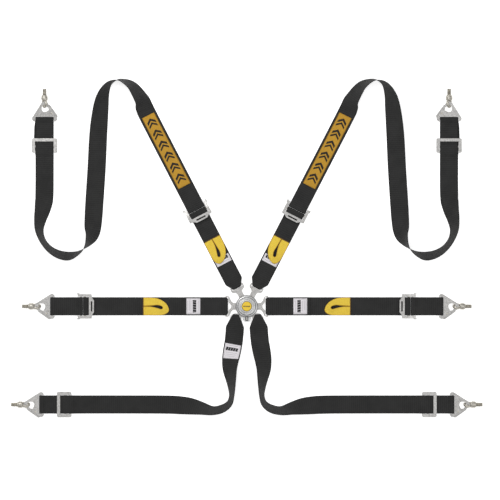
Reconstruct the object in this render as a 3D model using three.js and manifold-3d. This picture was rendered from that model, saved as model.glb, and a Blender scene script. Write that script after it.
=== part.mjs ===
// A six-point racing harness laid out flat: two shoulder straps, two lap straps and two crotch
// straps meet at a round release buckle. Each strap ends in a sprung snap hook on an eye bolt.
// Millimetres, +Z up, floor at z = 0. The origin is under the buckle's centre, +Y towards the
// shoulder straps. The left half is modelled and the right half is its mirror image.

import * as THREE from 'three';
import { mergeVertices } from 'three/addons/utils/BufferGeometryUtils.js';
import Module from 'manifold-3d';

const wasm = await Module();
wasm.setup();

// ---------------------------------------------------------------- driving dimensions
const GAP = 0.3; // clearance between touching pieces

const WEB_HALF = 25; // half the webbing's width
const WEB_THICK = 1.6;
const FLAT_Z = 0.9; // middle of a webbing layer that lies on the floor
const SECOND_Z = FLAT_Z + WEB_THICK + 0.25; // middle of the layer on top of it

const PLATE = 3; // thickness of tongues and snap hooks
const BAR_HALF = 2.5; // half the width of the flat bars that webbing is sewn round
const WRAP = 4; // middle radius of the webbing round such a bar

// Buckle.
const HOUSING_R = 31;
const HOUSING_BOTTOM = 2.3;
const HOUSING_TOP = 16.9;
const CAVITY_R = 24.5;
const CAVITY_TOP = 15;
const KNOB_R = 24;
const SHAFT_R = 6.5;
const TONGUE_Z = 5.8; // middle of the tongue plates
const TONGUE_TIP = 15.5; // distance of a tongue's tip from the buckle's axis

// Directions of the straps as they leave the buckle, left side, in degrees from +X.
const LAP_ANGLE = 180;
const SHOULDER_ANGLE = 117.4;
const CROTCH_TONGUE_ANGLE = 231.5;
const CROTCH_STRAP_ANGLE = 266;
const CROTCH_START = [-30, -21]; // point of the crotch webbing

// Distances along the lap strap from the buckle's axis.
const LAP_BAR = 56.3; // sewing bar of the tongue
const LAP_SEWN_END = 175;
const LAP_LOOP = 285.5; // seam of the pull loop
const LAP_ADJUSTER = 420;
const LAP_HOOK = 536.2; // sewing bar of the snap hook

// Distances along the shoulder strap.
const SHOULDER_BAR = 61;
const SHOULDER_SEWN_END = 130;
const SHOULDER_LOOP = 209.5;
const SHOULDER_ADJUSTER = 267;
const PATCH_START = 372;
const PATCH_LENGTH = 219;
const PATCH_WIDTH = 39;
const SHOULDER_FLAT_END = 600;

// The last straight stretch of the shoulder strap runs along +Y, the crotch strap's along -X.
const SHOULDER_END_X = -556;
const SHOULDER_SLIDE = 422;
const SHOULDER_HOOK = 516.2;
const CROTCH_END_Y = -270;
const CROTCH_SLIDE = 482;
const CROTCH_HOOK = 566.2;

// Tilt-lock adjuster, measured from the tip of its release tab.
const KNURL_AT = 25;
const KNURL_Z = 6;
const KNURL_R = 3.5;
const FIXED_AT = 35.6;
const FIXED_Z = 4.9;
const FIXED_R = 2.6;

// Three-bar slide.
const SLIDE_LENGTH = 40;
const SLIDE_HALF = 35;
const SLIDE_BOTTOM = 3.9;

// Snap hook and eye bolt, measured from the hook's sewing bar.
const HOOK_Z = 4.9;
const HOOK_PITCH = 10.5; // degrees that the plate climbs onto the eye bolt
const HOOK_PIVOT = 32.8; // where the eye's wire crosses the plate
const EYE_R = 9.6;
const WIRE_R = 3.5;
const EYE_Z = 12;
const EYE_TILT = 60; // degrees that the eye leans round the bolt's axis
const THREAD_R = 5.55; // 7/16 inch

// Curved stretches of webbing: x, y and roll. Roll 0 lies flat, 90 stands on its edge and 180
// lies flat with the other face up.
const SHOULDER_CURVE = [
  [-283, 550, 18],
  [-290, 570, 38],
  [-314, 604, 57],
  [-342, 620, 78],
  [-360, 621, 90],
  [-380, 610, 106],
  [-394, 584, 127],
  [-401, 548, 146],
  [-408, 476, 166],
  [-413, 379, 178],
  [-419, 285, 174],
  [-422, 236, 164],
  [-425, 205, 148],
  [-433, 181, 118],
  [-446, 160, 92],
  [-466, 145, 76],
  [-490, 138, 62],
  [-517, 143, 64],
  [-542, 158, 70],
  [-561, 182, 72],
  [-570, 210, 64],
  [-568, 238, 50],
  [-562, 265, 32],
  [-557, 292, 10],
];
const CROTCH_CURVE = [
  [-36, -98, 0],
  [-41, -125, 8],
  [-45, -150, 24],
  [-46, -172, 37],
  [-43.5, -197, 53],
  [-41.5, -222, 66],
  [-41.5, -246, 74],
  [-48, -267, 71],
  [-67, -281, 65],
  [-95, -286.5, 62],
  [-128, -280, 44],
  [-161, -274, 21],
  [-195, -271, 6],
];

// ---------------------------------------------------------------- materials
const material = (color, roughness, metalness) =>
  new THREE.MeshStandardMaterial({ color, roughness, metalness });
const WEBBING = material(0x26262a, 0.85, 0);
const YELLOW = material(0xe8c62c, 0.8, 0);
const GOLD = material(0xb98a2a, 0.75, 0);
const ZINC = material(0xc9c6c0, 0.38, 0.9);
const CAST = material(0xcfcfd2, 0.32, 0.9);
const STEEL = material(0xb0a998, 0.4, 0.9);
const CAP = material(0xf0c31a, 0.35, 0);

// ---------------------------------------------------------------- small helpers
const radians = THREE.MathUtils.degToRad;
const UP = new THREE.Vector3(0, 0, 1);

const root = new THREE.Group();

function mesh(parent, name, geometry, surface) {
  const piece = new THREE.Mesh(geometry, surface);
  piece.name = name;
  parent.add(piece);
}

function toSolid(geometry) {
  const bare = new THREE.BufferGeometry();
  bare.setAttribute('position', geometry.getAttribute('position'));
  if (geometry.index) {
    bare.setIndex(geometry.index);
  }
  const merged = mergeVertices(bare, 1e-4);
  return new wasm.Manifold(
    new wasm.Mesh({
      numProp: 3,
      vertProperties: new Float32Array(merged.getAttribute('position').array),
      triVerts: new Uint32Array(merged.index.array),
    })
  );
}

function toGeometry(solid) {
  const { vertProperties, triVerts } = solid.getMesh();
  const geometry = new THREE.BufferGeometry();
  geometry.setAttribute('position', new THREE.BufferAttribute(vertProperties, 3));
  geometry.setIndex(new THREE.BufferAttribute(triVerts, 1));
  return geometry;
}

const join = (...parts) => toGeometry(parts.map(toSolid).reduce((a, b) => a.add(b)));
const cut = (part, ...tools) =>
  toGeometry(tools.map(toSolid).reduce((a, b) => a.subtract(b), toSolid(part)));

// A box between two corners.
function box(low, high) {
  const [dx, dy, dz] = high.map((value, i) => value - low[i]);
  const centre = high.map((value, i) => (value + low[i]) / 2);
  return new THREE.BoxGeometry(dx, dy, dz).translate(...centre);
}

// A flat plate: an outline in X and Y between two heights.
function plate(outline, bottom, top) {
  const shape = outline instanceof THREE.Shape ? outline : polygon(outline);
  const options = { depth: top - bottom, bevelEnabled: false, curveSegments: 8 };
  return new THREE.ExtrudeGeometry(shape, options).translate(0, 0, bottom);
}

const polygon = (points) => new THREE.Shape(points.map(([x, y]) => new THREE.Vector2(x, y)));

// The outline of a belt round circles [x, y, r], listed anticlockwise.
function belt(circles, steps = 6) {
  const count = circles.length;
  const leaving = circles.map(([x, y, r], i) => {
    const [nextX, nextY, nextR] = circles[(i + 1) % count];
    const run = Math.hypot(nextX - x, nextY - y);
    return Math.atan2(nextY - y, nextX - x) - Math.acos((r - nextR) / run);
  });
  const points = circles.flatMap(([x, y, r], i) => {
    const end = leaving[i];
    let start = leaving[(i + count - 1) % count];
    while (start > end) {
      start -= 2 * Math.PI;
    }
    return Array.from({ length: steps + 1 }, (_, k) => {
      const angle = start + ((end - start) * k) / steps;
      return [x + r * Math.cos(angle), y + r * Math.sin(angle)];
    });
  });
  return polygon(points);
}

// A cylinder about Z between two heights.
const disc = (radius, bottom, top, sides = 36) =>
  new THREE.CylinderGeometry(radius, radius, top - bottom, sides)
    .rotateX(Math.PI / 2)
    .translate(0, 0, (top + bottom) / 2);

// A solid of revolution about Z from [radius, height] points that start and end on the axis.
const turned = (profile, sides = 36) =>
  new THREE.LatheGeometry(
    profile.map(([radius, height]) => new THREE.Vector2(radius, height)),
    sides
  ).rotateX(Math.PI / 2);

// A round bar across the strap, at a distance and a height.
const crossBar = (radius, half, at, height) =>
  new THREE.CylinderGeometry(radius, radius, 2 * half, 16).translate(at, 0, height);

// A group placed on the floor plan, turned so that its +X runs along a strap.
function strapGroup(parent, x, y, angle) {
  const group = new THREE.Group();
  group.position.set(x, y, 0);
  group.rotation.z = radians(angle);
  parent.add(group);
  return group;
}

// ---------------------------------------------------------------- webbing
// A ribbon through stations { at, across, half }. Both wide faces are split along the same
// diagonal, so that a twisted stretch keeps its thickness.
function ribbon(stations) {
  const last = stations.length - 1;
  const corners = stations.flatMap(({ at, across, half }, i) => {
    const before = at.clone().sub(stations[Math.max(i - 1, 0)].at).normalize();
    const after = stations[Math.min(i + 1, last)].at.clone().sub(at).normalize();
    const along = before.clone().add(after).normalize();
    const mitre = 1 / Math.max(along.dot(i < last ? after : before), 0.7);
    const lift = along.cross(across).normalize().multiplyScalar((mitre * WEB_THICK) / 2);
    const edge = across.clone().multiplyScalar(half);
    return [
      at.clone().sub(edge).sub(lift),
      at.clone().add(edge).sub(lift),
      at.clone().add(edge).add(lift),
      at.clone().sub(edge).add(lift),
    ];
  });
  const faces = [0, 2, 1, 0, 3, 2];
  for (let i = 0; i < last; i += 1) {
    const [a, b, c, d] = [0, 1, 2, 3].map((k) => 4 * i + k);
    const [nextA, nextB, nextC, nextD] = [a, b, c, d].map((k) => k + 4);
    faces.push(a, b, nextB, a, nextB, nextA);
    faces.push(b, c, nextC, b, nextC, nextB);
    faces.push(c, d, nextC, d, nextD, nextC);
    faces.push(d, a, nextA, d, nextA, nextD);
  }
  const end = 4 * last;
  faces.push(end, end + 1, end + 2, end, end + 2, end + 3);
  const geometry = new THREE.BufferGeometry().setFromPoints(corners);
  geometry.setIndex(faces);
  return geometry;
}

// Stations on a straight line over the floor plan, from [distance, height] points.
function straight(points, [x, y] = [0, 0], angle = 0, half = () => WEB_HALF) {
  const along = new THREE.Vector3(Math.cos(radians(angle)), Math.sin(radians(angle)), 0);
  const across = UP.clone().cross(along);
  return points.map(([distance, height]) => ({
    at: new THREE.Vector3(x, y, height).addScaledVector(along, distance),
    across,
    half: half(distance),
  }));
}

// Points on an arc in the strap's side view, with angles in degrees.
function arc(at, height, radius, from, to, steps = 8) {
  return Array.from({ length: steps + 1 }, (_, k) => {
    const angle = radians(from + ((to - from) * k) / steps);
    return [at + radius * Math.cos(angle), height + radius * Math.sin(angle)];
  });
}

// Stations on a curve through [x, y, roll] points. The lower edge stays on the floor.
function rolling(points, stepsPerPoint = 3) {
  const count = (points.length - 1) * stepsPerPoint;
  const plan = new THREE.CatmullRomCurve3(
    points.map(([x, y, roll]) => new THREE.Vector3(x, y, roll)),
    false,
    'catmullrom'
  );
  const samples = Array.from({ length: count + 1 }, (_, k) => plan.getPoint(k / count));
  const places = samples.map(({ x, y, z: roll }) => {
    const lean = radians(roll);
    const height = (WEB_HALF + GAP) * Math.sin(lean) + FLAT_Z * Math.abs(Math.cos(lean));
    return new THREE.Vector3(x, y, height);
  });
  return places.map((at, i) => {
    const lean = radians(samples[i].z);
    const next = places[Math.min(i + 1, count)];
    const along = next.clone().sub(places[Math.max(i - 1, 0)]).normalize();
    const level = UP.clone().cross(along).normalize();
    const upright = along.clone().cross(level);
    const across = level.multiplyScalar(Math.cos(lean)).addScaledVector(upright, Math.sin(lean));
    return { at, across, half: WEB_HALF };
  });
}

// The part of a route that runs over two bars of a slide, under the third, round the hook's bar
// and back along the floor.
const slideToHook = (slide, hook) => [
  [slide - 22, FLAT_Z],
  [slide - 15.5, SECOND_Z],
  [slide - 9, SECOND_Z + 0.3],
  [slide - 2, 8.1],
  [slide + 21, 8.1],
  [slide + 29, SECOND_Z],
  [hook - 13, SECOND_Z],
  [hook - 6, 7.6],
  ...arc(hook, HOOK_Z, WRAP, 90, -90),
  [hook - 8, FLAT_Z],
  [slide - 13, FLAT_Z],
];

// The run that is sewn round a tongue's bar, lies on the floor, goes round the adjuster's
// knurled bar and comes back as the tail.
function innerRun(bar, sewnEnd, adjuster, loop, half) {
  const route = [
    [sewnEnd, SECOND_Z],
    [bar + 22, SECOND_Z],
    [bar + 16, SECOND_Z],
    [bar + 7, 8.2],
    ...arc(bar, TONGUE_Z, WRAP, 90, 270),
    [bar + 10, FLAT_Z],
    [bar + 22, FLAT_Z],
    [adjuster + 12, FLAT_Z],
    ...arc(adjuster + KNURL_AT, KNURL_Z, KNURL_R + GAP + WEB_THICK / 2, -90, 90),
    [adjuster + 16, 9],
    [adjuster + 4, 4.4],
    [adjuster - 6, SECOND_Z],
    [loop + GAP, SECOND_Z],
  ];
  return ribbon(straight(route, [0, 0], 0, half));
}

// The lap webbing's corners are rounded off where it turns round the tongue's bar.
const lapHalf = (distance) => {
  const corner = 8;
  const past = THREE.MathUtils.clamp((LAP_BAR + 4 - distance) / (corner + 0.8), 0, 1);
  return WEB_HALF - corner * (1 - Math.sqrt(1 - past * past));
};

// The shoulder webbing is folded in at both edges to pass through its tongue.
const shoulderHalf = (distance) =>
  Math.min(11.5 + 0.65 * Math.max(distance - SHOULDER_BAR + WRAP, 0), WEB_HALF);

const fixedWrap = FIXED_R + GAP + WEB_THICK / 2;

// The short doubled strap between a lap adjuster and its hook.
const lapOuterRun = () => {
  const fixed = LAP_ADJUSTER + FIXED_AT;
  const middle = (fixed + LAP_HOOK) / 2;
  return ribbon(
    straight([
      [middle + GAP, FLAT_Z],
      [LAP_HOOK - 8, FLAT_Z],
      ...arc(LAP_HOOK, HOOK_Z, WRAP, -90, 90),
      [LAP_HOOK - 7, 7.4],
      [LAP_HOOK - 17, SECOND_Z],
      [fixed + 13, SECOND_Z],
      [fixed + 6, 7],
      ...arc(fixed, FIXED_Z, fixedWrap, 90, 270),
      [fixed + 8, FLAT_Z],
      [middle - GAP, FLAT_Z],
    ])
  );
};

const shoulderUpperRun = () => {
  const fixed = SHOULDER_ADJUSTER + FIXED_AT;
  const lower = straight(
    [
      [fixed + 46, FLAT_Z],
      [fixed + 8, FLAT_Z],
      ...arc(fixed, FIXED_Z, fixedWrap, 270, 90),
      [fixed + 6, 7],
      [fixed + 13, SECOND_Z],
      [fixed + 48, SECOND_Z],
      [fixed + 56, FLAT_Z],
      [SHOULDER_FLAT_END, FLAT_Z],
    ],
    [0, 0],
    SHOULDER_ANGLE
  );
  const end = straight(
    [[320, FLAT_Z], ...slideToHook(SHOULDER_SLIDE, SHOULDER_HOOK)],
    [SHOULDER_END_X, 0],
    90
  );
  return ribbon([...lower, ...rolling(SHOULDER_CURVE), ...end]);
};

// The crotch webbing comes to a point where it is folded through its tongue.
const crotchHalf = (distance) => {
  const shoulder = 17; // the point's steep part ends here
  if (distance < shoulder) {
    return 6.8 + (9.7 * Math.max(distance, 0)) / shoulder;
  }
  return Math.min(16.5 + (8.5 * (distance - shoulder)) / 19, WEB_HALF);
};

const crotchRun = () => {
  const start = straight(
    [
      [44, FLAT_Z + 0.2],
      [10, 2],
      ...arc(5, TONGUE_Z, WRAP, -90, -270),
      [14, 9.4],
      [24, 7],
      [36, 3.4],
      [46, SECOND_Z],
      [54, FLAT_Z],
    ],
    CROTCH_START,
    CROTCH_STRAP_ANGLE,
    crotchHalf
  );
  const end = straight(
    [[230, FLAT_Z], ...slideToHook(CROTCH_SLIDE, CROTCH_HOOK)],
    [0, CROTCH_END_Y],
    180
  );
  return ribbon([...start, ...rolling(CROTCH_CURVE), ...end]);
};

// A finger loop of yellow tape at the end of a tail, from its seam at 0 to its tip at -72.
function pullLoop() {
  const outline = belt([
    [-5, -19.5, 4.5],
    [-5, 19.5, 4.5],
    [-46, 16.5, 8],
    [-62, 4, 9.5],
    [-46, -16.5, 8],
  ]);
  const finger = belt([[-30, 0, 3.2], [-48, 4, 5.5], [-48, -2, 5.5]]);
  return cut(plate(outline, 2.2, 7.2), plate(finger, 1, 9));
}

const sewnPatch = () =>
  box(
    [PATCH_START, -PATCH_WIDTH / 2, FLAT_Z + WEB_THICK / 2 + GAP],
    [PATCH_START + PATCH_LENGTH, PATCH_WIDTH / 2, FLAT_Z + WEB_THICK / 2 + GAP + 0.9]
  );

// ---------------------------------------------------------------- tongues
const TONGUE_LOW = TONGUE_Z - PLATE / 2;
const TONGUE_HIGH = TONGUE_Z + PLATE / 2;

const neck = (half, end) =>
  plate(
    [[TONGUE_TIP, -5], [21, -half], [end, -half], [end, half], [21, half], [TONGUE_TIP, 5]],
    TONGUE_LOW,
    TONGUE_HIGH
  );

// A lap tongue opens into a Y, and its webbing bar joins the two arms.
function lapTongue() {
  const far = LAP_BAR + BAR_HALF;
  const head = plate(
    [[38, -9.5], [43, -15], [48, -26], [52, -28.5], [far, -28.5], [far, 28.5], [52, 28.5],
      [48, 26], [43, 15], [38, 9.5]],
    TONGUE_LOW,
    TONGUE_HIGH
  );
  const near = LAP_BAR - BAR_HALF;
  const window = [[43, -3], [50.8, -12], [50.8, -25.8], [near, -25.8], [near, 25.8], [50.8, 25.8],
    [50.8, 12], [43, 3]];
  return cut(join(neck(9.5, 40), head), plate(window, 0, 12));
}

// A shoulder tongue is a T, and only its wings show beside the webbing.
function shoulderTongue() {
  const far = SHOULDER_BAR + BAR_HALF;
  const head = plate(
    [[42, -7.5], [46.5, -10], [49.5, -16.5], [53, -19.5], [far - 1.5, -19.5], [far, -18],
      [far, 18], [far - 1.5, 19.5], [53, 19.5], [49.5, 16.5], [46.5, 10], [42, 7.5]],
    TONGUE_LOW,
    TONGUE_HIGH
  );
  const slot = box([SHOULDER_BAR - WRAP - 1.3, -16, 0], [SHOULDER_BAR - BAR_HALF, 16, 12]);
  return cut(join(neck(7.5, 44), head), slot);
}

// A crotch tongue turns from the buckle's direction to the strap's.
function crotchTongue() {
  const stem = neck(7.5, 36).rotateZ(radians(CROTCH_TONGUE_ANGLE));
  const toStrap = (part) =>
    part.rotateZ(radians(CROTCH_STRAP_ANGLE)).translate(CROTCH_START[0], CROTCH_START[1], 0);
  const head = plate(
    [[-2, -5], [3, -10.6], [11, -15], [15, -15], [15, 15], [11, 15], [3, 10.6], [-2, 5]],
    TONGUE_LOW,
    TONGUE_HIGH
  );
  const slot = box([-0.9, -7.6, 0], [2.4, 7.6, 12]);
  return cut(join(stem, toStrap(head)), toStrap(slot));
}

// ---------------------------------------------------------------- tilt-lock adjuster
function adjusterFrame() {
  const railIn = 26.6;
  const railOut = 33.6;
  const profile = polygon([
    [6.5, 10.2], [12, 8], [18, 0.5], [45, 0.5], [45, 8], [30, 10.4], [20, 12.7], [6.5, 12.7],
  ]);
  const barHole = new THREE.Path().absarc(KNURL_AT, KNURL_Z, KNURL_R + 0.4, 0, 2 * Math.PI, true);
  profile.holes.push(barHole);
  const rail = new THREE.ExtrudeGeometry(profile, {
    depth: railOut - railIn,
    bevelEnabled: false,
    curveSegments: 12,
  }).rotateX(Math.PI / 2);
  const rails = [rail.clone().translate(0, railOut, 0), rail.clone().translate(0, -railIn, 0)];
  const wings = [box([39, 33, 3.4], [47, 36, 7]), box([39, -36, 3.4], [47, -33, 7])];
  const tab = plate(
    [[14, 33.6], [6.5, 33.6], [5.5, 24], [0, 16], [0, -16], [5.5, -24], [6.5, -33.6], [14, -33.6]],
    10.2,
    12.7
  );
  const slot = box([4.5, -14, 9], [8.5, 14, 14]);
  const fixedBar = crossBar(FIXED_R, 28, FIXED_AT, FIXED_Z);
  return cut(join(...rails, ...wings, tab, fixedBar), slot);
}

const knurledBar = () => crossBar(KNURL_R, 33, KNURL_AT, KNURL_Z);

// ---------------------------------------------------------------- three-bar slide
function threeBarSlide() {
  const corner = 4;
  const outline = belt([
    [corner, -SLIDE_HALF + corner, corner],
    [SLIDE_LENGTH - corner, -SLIDE_HALF + corner, corner],
    [SLIDE_LENGTH - corner, SLIDE_HALF - corner, corner],
    [corner, SLIDE_HALF - corner, corner],
  ], 3);
  const body = plate(outline, SLIDE_BOTTOM, SLIDE_BOTTOM + PLATE);
  const nearWindow = box([6, -26, 0], [14, 26, 12]);
  const farWindow = box([20, -26, 0], [31, 26, 12]);
  return cut(body, nearWindow, farWindow);
}

// ---------------------------------------------------------------- snap hook and its gate
// The plate's own frame has its origin on the sewing bar, and the gate is on its +Y side.
function snapHook() {
  const outline = belt([[-0.5, -27, 7.5], [38, 0, 10], [-0.5, 27, 7.5]]);
  const eyeHole = belt([[26, 0, 8], [30.3, 0, 8]], 10);
  const mouth = box([0, -4.3, -5], [28, 4.3, 5]).rotateZ(radians(60)).translate(23, 3, 0);
  const barSlot = box([BAR_HALF, -25.8, -5], [WRAP + 1.4, 25.8, 5]);
  const notch = box([-12, -25.8, -5], [-BAR_HALF, 25.8, 5]);
  return cut(plate(outline, -PLATE / 2, PLATE / 2), plate(eyeHole, -5, 5), mouth, barSlot, notch);
}

function hookGate() {
  const top = -PLATE / 2 - GAP;
  return plate(belt([[6, 31, 5], [15, 21, 6], [34.5, 12.6, 3.4]]), top - 2, top);
}

// An eye bolt along +X, with the centre of its eye at the origin.
function eyeBolt() {
  const eye = new THREE.TorusGeometry(EYE_R, WIRE_R, 8, 18).rotateX(radians(EYE_TILT));
  const profile = [
    [0, 7.2],
    [5.5, 7.2],
    [8.75, 9.5],
    [8.75, 22],
    [THREAD_R, 22],
    [THREAD_R, 39],
    [4.6, 40],
    [0, 40],
  ];
  const shank = turned(profile, 12);
  // The turned shank runs along +Z, so it is tipped over to run along +X.
  shank.rotateY(Math.PI / 2);
  return join(eye, shank);
}

// The hook, gate and eye bolt at the end of a strap. `gateSide` is the side of the gate.
function addHook(strap, name, side, at, gateSide) {
  const pitched = new THREE.Group();
  pitched.position.set(at, 0, HOOK_Z);
  pitched.rotation.y = radians(-HOOK_PITCH);
  pitched.scale.y = gateSide;
  strap.add(pitched);
  mesh(pitched, `${name}_snap_hook_${side}`, snapHook(), ZINC);
  mesh(pitched, `${name}_hook_gate_${side}`, hookGate(), ZINC);

  const bolt = new THREE.Group();
  bolt.position.set(at + HOOK_PIVOT * Math.cos(radians(HOOK_PITCH)) + EYE_R, 0, EYE_Z);
  bolt.scale.y = gateSide;
  strap.add(bolt);
  mesh(bolt, `${name}_eye_bolt_${side}`, eyeBolt(), STEEL);
}

function addAdjuster(strap, name, side, at, loopAt) {
  const group = new THREE.Group();
  group.position.x = at;
  strap.add(group);
  mesh(group, `${name}_adjuster_frame_${side}`, adjusterFrame(), ZINC);
  mesh(group, `${name}_adjuster_bar_${side}`, knurledBar(), STEEL);

  const loop = new THREE.Group();
  loop.position.x = loopAt;
  strap.add(loop);
  mesh(loop, `${name}_pull_loop_${side}`, pullLoop(), YELLOW);
}

// ---------------------------------------------------------------- straps of one side
function addLapStrap(half, side) {
  const strap = strapGroup(half, 0, 0, LAP_ANGLE);
  mesh(strap, `lap_tongue_${side}`, lapTongue(), ZINC);
  const inner = innerRun(LAP_BAR, LAP_SEWN_END, LAP_ADJUSTER, LAP_LOOP, lapHalf);
  mesh(strap, `lap_inner_webbing_${side}`, inner, WEBBING);
  mesh(strap, `lap_outer_webbing_${side}`, lapOuterRun(), WEBBING);
  addAdjuster(strap, 'lap', side, LAP_ADJUSTER, LAP_LOOP);
  addHook(strap, 'lap', side, LAP_HOOK, 1);
}

function addShoulderStrap(half, side) {
  const strap = strapGroup(half, 0, 0, SHOULDER_ANGLE);
  const inner = innerRun(
    SHOULDER_BAR,
    SHOULDER_SEWN_END,
    SHOULDER_ADJUSTER,
    SHOULDER_LOOP,
    shoulderHalf
  );
  mesh(strap, `shoulder_tongue_${side}`, shoulderTongue(), ZINC);
  mesh(strap, `shoulder_lower_webbing_${side}`, inner, WEBBING);
  mesh(strap, `shoulder_patch_${side}`, sewnPatch(), GOLD);
  addAdjuster(strap, 'shoulder', side, SHOULDER_ADJUSTER, SHOULDER_LOOP);
  mesh(half, `shoulder_upper_webbing_${side}`, shoulderUpperRun(), WEBBING);

  const end = strapGroup(half, SHOULDER_END_X, 0, 90);
  const slide = new THREE.Group();
  slide.position.x = SHOULDER_SLIDE;
  end.add(slide);
  mesh(slide, `shoulder_slide_${side}`, threeBarSlide(), ZINC);
  addHook(end, 'shoulder', side, SHOULDER_HOOK, -1);
}

function addCrotchStrap(half, side) {
  mesh(half, `crotch_tongue_${side}`, crotchTongue(), ZINC);
  mesh(half, `crotch_webbing_${side}`, crotchRun(), WEBBING);

  const end = strapGroup(half, 0, CROTCH_END_Y, 180);
  const slide = new THREE.Group();
  slide.position.x = CROTCH_SLIDE;
  end.add(slide);
  mesh(slide, `crotch_slide_${side}`, threeBarSlide(), ZINC);
  addHook(end, 'crotch', side, CROTCH_HOOK, 1);
}

// ---------------------------------------------------------------- buckle
const SLOT_DIRECTIONS = [LAP_ANGLE, SHOULDER_ANGLE, CROTCH_TONGUE_ANGLE].flatMap((angle) => [
  angle,
  180 - angle,
]);

function buckleHousing() {
  const drum = turned([
    [0, HOUSING_BOTTOM],
    [HOUSING_R, HOUSING_BOTTOM],
    [HOUSING_R, 13],
    [28.5, 15.6],
    [25.5, HOUSING_TOP],
    [0, HOUSING_TOP],
  ]);
  const tab = plate(
    [[-13, -25], [-10.5, -37], [-8, -42.6], [8, -42.6], [10.5, -37], [13, -25]],
    HOUSING_BOTTOM,
    13
  );
  const cavity = disc(CAVITY_R, 0, CAVITY_TOP);
  const shaftHole = disc(SHAFT_R + 0.5, 10, 20);
  const tabSlot = box([-4.2, -40, 10], [4.2, -27, 20]);
  const slots = SLOT_DIRECTIONS.map((angle, i) => {
    const half = i < 2 ? 9.9 : 7.9;
    const slot = box([20, -half, TONGUE_LOW - 0.4], [46, half, TONGUE_HIGH + 0.4]);
    return slot.rotateZ(radians(angle));
  });
  return cut(join(drum, tab), cavity, shaftHole, tabSlot, ...slots);
}

function releaseKnob() {
  const body = turned([
    [0, HOUSING_TOP + GAP],
    [KNOB_R, HOUSING_TOP + GAP],
    [KNOB_R, 20.6],
    [22.6, 22],
    [18.4, 22],
    [17, 24],
    [14.2, 24.4],
    [13.3, 22.6],
    [0, 22.6],
  ]);
  const grips = Array.from({ length: 6 }, (_, k) => {
    const angle = radians(30 + 60 * k);
    return disc(3.4, 15, 26, 12).translate(25.6 * Math.cos(angle), 25.6 * Math.sin(angle), 0);
  });
  return cut(body, ...grips);
}

// The latch plate rides on the cam and lifts clear of the tongues when the knob turns.
function latchPlate() {
  const teeth = SLOT_DIRECTIONS.map((angle) =>
    box([18.5, -3, 7.7], [21.5, 3, 9]).rotateZ(radians(angle))
  );
  return cut(join(disc(23.5, 8.7, 10.2), ...teeth), disc(SHAFT_R + 0.6, 7, 12, 24));
}

class Coil extends THREE.Curve {
  getPoint(t) {
    const angle = 3 * 2 * Math.PI * t;
    return new THREE.Vector3(10 * Math.cos(angle), 10 * Math.sin(angle), 11.3 + 2.6 * t);
  }
}

function returnSpring() {
  const wire = polygon(
    Array.from({ length: 6 }, (_, k) => {
      const angle = (k * Math.PI) / 3;
      return [0.5 * Math.cos(angle), 0.5 * Math.sin(angle)];
    })
  );
  const options = { steps: 42, bevelEnabled: false, extrudePath: new Coil() };
  return new THREE.ExtrudeGeometry(wire, options);
}

// The shaft has a groove for its retaining clip and a cam under the latch plate.
function camShaft() {
  const groove = 5.2;
  const cam = 11;
  const profile = [
    [0, 2.4],
    [SHAFT_R, 2.4],
    [SHAFT_R, 3.2],
    [groove, 3.2],
    [groove, 4.4],
    [SHAFT_R, 4.4],
    [SHAFT_R, 5],
    [cam, 5],
    [cam, 8.3],
    [SHAFT_R, 8.3],
    [SHAFT_R, HOUSING_TOP],
    [0, HOUSING_TOP],
  ];
  return turned(profile, 24);
}

function addBuckle() {
  mesh(root, 'buckle_back_plate', disc(HOUSING_R - 1, 0, 2), ZINC);
  mesh(root, 'buckle_housing', buckleHousing(), CAST);
  mesh(root, 'latch_plate', latchPlate(), STEEL);
  mesh(root, 'return_spring', returnSpring(), STEEL);
  mesh(root, 'cam_shaft', camShaft(), STEEL);
  mesh(root, 'retaining_clip', cut(disc(9, 3.4, 4.2, 24), disc(5.5, 3, 5, 24)), STEEL);
  mesh(root, 'release_knob', releaseKnob(), CAST);
  const cap = turned([[0, 22.9], [13, 22.9], [13, 24], [11.5, 24.8], [0, 25.2]]);
  mesh(root, 'centre_cap', cap, CAP);
}

addBuckle();
for (const [side, mirror] of [['left', 1], ['right', -1]]) {
  const half = new THREE.Group();
  half.scale.x = mirror;
  root.add(half);
  addLapStrap(half, side);
  addShoulderStrap(half, side);
  addCrotchStrap(half, side);
}

export default root;
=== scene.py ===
"""Looks of a six-point racing harness, laid flat round its rotary buckle.

Everything is built in millimetres for the left half, then mirrored for the right half and scaled
to metres. +Z is up, the floor is z = 0 and the origin is under the buckle's centre. Each straight
stretch of strap is built in its own frame, whose +X runs along it, away from the buckle.
"""

import math

import bmesh
import bpy
from mathutils import Matrix, Vector


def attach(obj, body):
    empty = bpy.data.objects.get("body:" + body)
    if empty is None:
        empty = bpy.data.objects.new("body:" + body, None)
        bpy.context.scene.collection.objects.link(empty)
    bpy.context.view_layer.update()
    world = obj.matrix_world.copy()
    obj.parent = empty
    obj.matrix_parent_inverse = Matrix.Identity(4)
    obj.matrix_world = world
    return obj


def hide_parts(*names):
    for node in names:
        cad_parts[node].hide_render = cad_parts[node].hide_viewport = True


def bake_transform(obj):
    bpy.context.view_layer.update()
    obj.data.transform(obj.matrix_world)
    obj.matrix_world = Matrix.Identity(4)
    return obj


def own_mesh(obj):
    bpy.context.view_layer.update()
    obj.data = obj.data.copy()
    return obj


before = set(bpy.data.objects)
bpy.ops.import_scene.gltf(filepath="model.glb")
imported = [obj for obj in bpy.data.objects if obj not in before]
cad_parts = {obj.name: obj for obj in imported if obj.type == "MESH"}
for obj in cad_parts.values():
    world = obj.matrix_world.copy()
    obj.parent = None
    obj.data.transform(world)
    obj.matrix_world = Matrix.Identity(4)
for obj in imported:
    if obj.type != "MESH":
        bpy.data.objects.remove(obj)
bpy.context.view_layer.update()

MM = 0.001
UP = Vector((0, 0, 1))

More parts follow.
